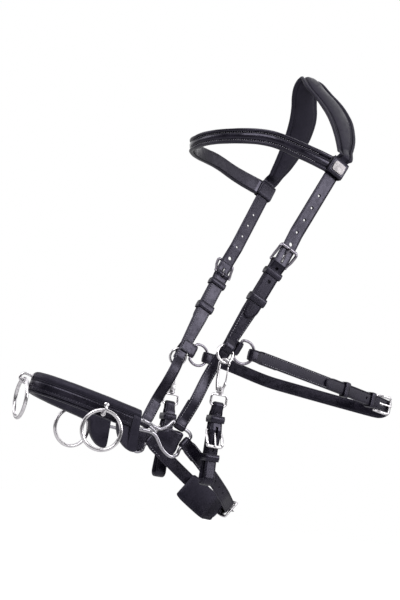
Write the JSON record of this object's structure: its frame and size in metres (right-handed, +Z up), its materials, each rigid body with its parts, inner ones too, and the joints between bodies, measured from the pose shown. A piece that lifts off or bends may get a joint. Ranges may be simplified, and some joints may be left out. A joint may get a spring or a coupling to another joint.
{
  "type": "lungeing cavesson bridle",
  "caption": "Leather lungeing cavesson bridle with padded crown, browband and noseband, nose rings, side frames, clip-on bit straps and buckled cheek, jowl and chin straps.",
  "frame": {"origin": "underside of the headpiece in the middle of the poll", "axes": "+Z up, +X to the horse's left (the near side), -Y forward to the nose"},
  "size_m": [0.193, 0.4789, 0.5556],
  "materials": {
    "strap_leather": "smooth waxed",
    "pad_leather": "soft matte",
    "polished_steel": "polished",
    "darkened_steel": "darkened, satin"
  },
  "bodies": {
    "bridle": {"headpiece_pad": "pad_leather", "browband": "strap_leather", "browband_lining": "pad_leather", "browband_plate": "polished_steel", "nosepiece_pad": "pad_leather", "nosepiece_band": "strap_leather", "near_staple": "polished_steel", "centre_staple": "polished_steel", "far_staple": "polished_steel", "near_billet": "strap_leather", "near_cheek_buckle": "darkened_steel", "near_upper_keeper": "strap_leather", "near_cheekpiece": "strap_leather", "near_jowl_dee": "darkened_steel", "near_dee_tab": "strap_leather", "near_side_frame": "polished_steel", "far_billet": "strap_leather", "far_cheek_buckle": "darkened_steel", "far_upper_keeper": "strap_leather", "far_cheekpiece": "strap_leather", "far_jowl_dee": "darkened_steel", "far_dee_tab": "strap_leather", "far_side_frame": "polished_steel", "near_chin_strap": "strap_leather", "far_chin_strap": "strap_leather", "chin_buckle": "polished_steel", "chin_keeper": "strap_leather", "chin_pad": "pad_leather"},
    "centre_nose_ring": {"centre_nose_ring": "polished_steel"},
    "near_nose_ring": {"near_nose_ring": "polished_steel"},
    "far_nose_ring": {"far_nose_ring": "polished_steel"},
    "near_cheek_tongue": {"near_cheek_tongue": "darkened_steel"},
    "near_lower_keeper": {"near_lower_keeper": "strap_leather"},
    "near_bit_ring": {"near_bit_ring": "polished_steel"},
    "near_snap": {"near_snap_hook": "polished_steel"},
    "near_snap_gate": {"near_snap_gate": "polished_steel"},
    "near_swivel": {"near_snap_eye": "polished_steel"},
    "near_bit_strap": {"near_bit_strap": "strap_leather", "near_bit_buckle": "polished_steel", "near_bit_upper_keeper": "strap_leather", "near_bit_lower_keeper": "strap_leather"},
    "near_bit_tongue": {"near_bit_tongue": "polished_steel"},
    "far_cheek_tongue": {"far_cheek_tongue": "darkened_steel"},
    "far_lower_keeper": {"far_lower_keeper": "strap_leather"},
    "far_bit_ring": {"far_bit_ring": "polished_steel"},
    "far_snap": {"far_snap_hook": "polished_steel"},
    "far_snap_gate": {"far_snap_gate": "polished_steel"},
    "far_swivel": {"far_snap_eye": "polished_steel"},
    "far_bit_strap": {"far_bit_strap": "strap_leather", "far_bit_buckle": "polished_steel", "far_bit_upper_keeper": "strap_leather", "far_bit_lower_keeper": "strap_leather"},
    "far_bit_tongue": {"far_bit_tongue": "polished_steel"},
    "jowl_strap": {"jowl_near_strap": "strap_leather", "jowl_far_strap": "strap_leather", "jowl_buckle": "polished_steel", "jowl_front_keeper": "strap_leather", "jowl_rear_keeper": "strap_leather"},
    "jowl_tongue": {"jowl_tongue": "polished_steel"},
    "chin_tongue": {"chin_tongue": "polished_steel"}
  },
  "joints": [
    {"name": "centre_nose_ring_swing", "type": "hinge", "parent": "bridle", "child": "centre_nose_ring", "pos_m": [0, -0.28699, -0.42474], "axis": [-1, 0, 0], "range_deg": [0, 90]},
    {"name": "near_nose_ring_swing", "type": "hinge", "parent": "bridle", "child": "near_nose_ring", "pos_m": [0.05043, -0.20668, -0.44539], "axis": [-0.1656, -0.9862, 0], "range_deg": [0, 90]},
    {"name": "far_nose_ring_swing", "type": "hinge", "parent": "bridle", "child": "far_nose_ring", "pos_m": [-0.05043, -0.20668, -0.44539], "axis": [-0.1656, 0.9862, 0], "range_deg": [0, 90]},
    {"name": "near_cheek_tongue_lift", "type": "hinge", "parent": "bridle", "child": "near_cheek_tongue", "pos_m": [0.07334, -0.03787, -0.24721], "axis": [0, 0.9298, -0.3681], "range_deg": [0, 10]},
    {"name": "near_lower_keeper_slide", "type": "slide", "parent": "bridle", "child": "near_lower_keeper", "axis": [0.0993, 0.3663, 0.9252], "range_m": [-0.01, 0.018]},
    {"name": "near_bit_ring_swing", "type": "hinge", "parent": "bridle", "child": "near_bit_ring", "pos_m": [0.06391, -0.07914, -0.35146], "axis": [0, -0.9298, 0.3681], "range_deg": [0, 10]},
    {"name": "near_snap_swing", "type": "hinge", "parent": "near_bit_ring", "child": "near_snap", "pos_m": [0.06599, -0.08274, -0.36055], "axis": [0.9782, 0.0765, 0.1933], "range_deg": [-8, 25]},
    {"name": "near_snap_gate_press", "type": "hinge", "parent": "near_snap", "child": "near_snap_gate", "pos_m": [0.07109, -0.07942, -0.39376], "axis": [0.7071, -0.7071, 0], "range_deg": [0, 22], "stiffness_Nm_per_rad": 0.004, "springref_deg": -17.19},
    {"name": "near_snap_swivel", "type": "hinge", "parent": "near_snap", "child": "near_swivel", "pos_m": [0.06792, -0.08259, -0.37216], "axis": [0, 0, 1], "range_deg": [-90, 90]},
    {"name": "near_bit_strap_swing", "type": "hinge", "parent": "near_swivel", "child": "near_bit_strap", "pos_m": [0.06792, -0.08259, -0.41906], "axis": [0, -1, 0], "range_deg": [-3, 60]},
    {"name": "near_bit_tongue_lift", "type": "hinge", "parent": "near_bit_strap", "child": "near_bit_tongue", "pos_m": [0.06792, -0.08259, -0.44706], "axis": [0, -1, 0], "range_deg": [0, 10]},
    {"name": "far_cheek_tongue_lift", "type": "hinge", "parent": "bridle", "child": "far_cheek_tongue", "pos_m": [-0.07334, -0.03787, -0.24721], "axis": [0, -0.9298, 0.3681], "range_deg": [0, 10]},
    {"name": "far_lower_keeper_slide", "type": "slide", "parent": "bridle", "child": "far_lower_keeper", "axis": [-0.0993, 0.3663, 0.9252], "range_m": [-0.01, 0.018]},
    {"name": "far_bit_ring_swing", "type": "hinge", "parent": "bridle", "child": "far_bit_ring", "pos_m": [-0.06391, -0.07914, -0.35146], "axis": [0, 0.9298, -0.3681], "range_deg": [0, 10]},
    {"name": "far_snap_swing", "type": "hinge", "parent": "far_bit_ring", "child": "far_snap", "pos_m": [-0.06599, -0.08274, -0.36055], "axis": [0.9782, -0.0765, -0.1933], "range_deg": [-8, 25]},
    {"name": "far_snap_gate_press", "type": "hinge", "parent": "far_snap", "child": "far_snap_gate", "pos_m": [-0.07109, -0.07942, -0.39376], "axis": [0.7071, 0.7071, 0], "range_deg": [0, 22], "stiffness_Nm_per_rad": 0.004, "springref_deg": -17.19},
    {"name": "far_snap_swivel", "type": "hinge", "parent": "far_snap", "child": "far_swivel", "pos_m": [-0.06792, -0.08259, -0.37216], "axis": [0, 0, 1], "range_deg": [-90, 90]},
    {"name": "far_bit_strap_swing", "type": "hinge", "parent": "far_swivel", "child": "far_bit_strap", "pos_m": [-0.06792, -0.08259, -0.41906], "axis": [0, 1, 0], "range_deg": [-3, 60]},
    {"name": "far_bit_tongue_lift", "type": "hinge", "parent": "far_bit_strap", "child": "far_bit_tongue", "pos_m": [-0.06792, -0.08259, -0.44706], "axis": [0, 1, 0], "range_deg": [0, 10]},
    {"name": "jowl_strap_swing", "type": "hinge", "parent": "bridle", "child": "jowl_strap", "pos_m": [0, -0.05825, -0.35408], "axis": [1, 0, 0], "range_deg": [-20, 15]},
    {"name": "jowl_tongue_lift", "type": "hinge", "parent": "jowl_strap", "child": "jowl_tongue", "pos_m": [0.0155, 0.15469, -0.37533], "axis": [0, -0.0993, -0.9951], "range_deg": [0, 10]},
    {"name": "chin_tongue_lift", "type": "hinge", "parent": "bridle", "child": "chin_tongue", "pos_m": [-0.0095, -0.01983, -0.52969], "axis": [0, 0.5878, 0.809], "range_deg": [0, 10]}
  ]
}
